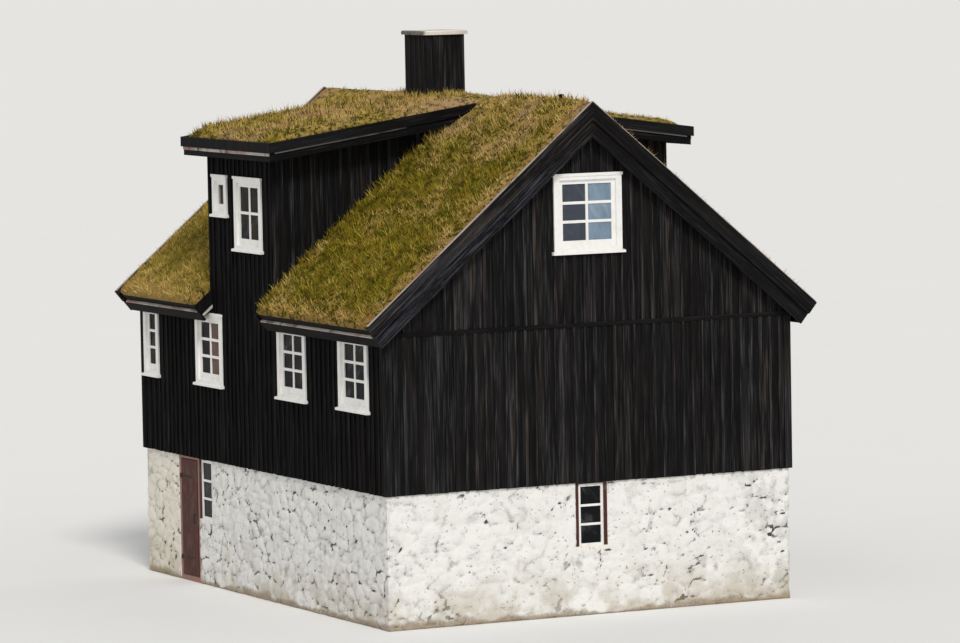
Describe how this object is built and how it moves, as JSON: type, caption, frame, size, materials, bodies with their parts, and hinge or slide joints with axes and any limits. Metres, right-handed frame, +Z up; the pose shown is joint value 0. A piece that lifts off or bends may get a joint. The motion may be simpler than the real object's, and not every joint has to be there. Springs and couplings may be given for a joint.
{
  "type": "turf-roofed timber house",
  "caption": "Turf-roofed black timber house on a whitewashed stone basement, with wide low-pitched dormers, white small-paned windows and a boarded chimney.",
  "frame": {"origin": "bottom centre of the bounding box, on the level of the lowest ground", "axes": "+Z up, Y along the ridge with the pictured gable facing -Y, X across the gables with the door side facing -X"},
  "size_m": [7.1, 8.85, 8.1298],
  "materials": {
    "tarred_boards": "tarred, weathered",
    "whitewashed_rubble": "limewashed stone",
    "turf": "grass and sod",
    "bare_wood": "sawn",
    "white_paint": "painted",
    "red_paint": "worn paint",
    "panes": "clear",
    "paving": "flat stones",
    "chimney_masonry": "mortared stone",
    "cap_slab": "weathered concrete"
  },
  "bodies": {
    "house": {"basement_floor": "paving", "basement_front_wall": "whitewashed_rubble", "basement_back_wall": "whitewashed_rubble", "basement_right_wall": "whitewashed_rubble", "basement_left_wall_near": "whitewashed_rubble", "basement_left_wall_far": "whitewashed_rubble", "basement_door_frame": "red_paint", "basement_window_frames": "red_paint", "basement_window_sashes": "white_paint", "basement_window_glass": "panes", "main_floor": "bare_wood", "loft_floor": "bare_wood", "front_wall": "tarred_boards", "back_wall": "tarred_boards", "left_wall": "tarred_boards", "right_wall": "tarred_boards", "gable_trims": "tarred_boards", "gable_window_frames": "white_paint", "gable_window_glass": "panes", "left_window_frames": "white_paint", "right_window_frames": "white_paint", "side_window_glass": "panes", "dormer_front_left": "tarred_boards", "dormer_front_right": "tarred_boards", "dormer_cheeks_left": "tarred_boards", "dormer_cheeks_right": "tarred_boards", "dormer_window_frames": "white_paint", "dormer_window_glass": "panes", "roof_deck_left": "bare_wood", "roof_deck_right": "bare_wood", "turf_left": "turf", "turf_right": "turf", "dormer_roof_left": "bare_wood", "dormer_roof_right": "bare_wood", "dormer_turf_left": "turf", "dormer_turf_right": "turf", "bargeboards_front": "tarred_boards", "bargeboards_back": "tarred_boards", "dormer_bargeboards_left": "tarred_boards", "dormer_bargeboards_right": "tarred_boards", "eaves_boards_left": "tarred_boards", "eaves_boards_right": "tarred_boards", "chimney_stack": "chimney_masonry", "chimney_boarding": "tarred_boards", "chimney_cap": "cap_slab"},
    "door": {"basement_door": "red_paint"}
  },
  "joints": [
    {"name": "basement_door_hinge", "type": "hinge", "parent": "house", "child": "door", "pos_m": [-3.1933, 2.898, 0.345], "axis": [0, 0, -1], "range_deg": [0, 110]}
  ]
}
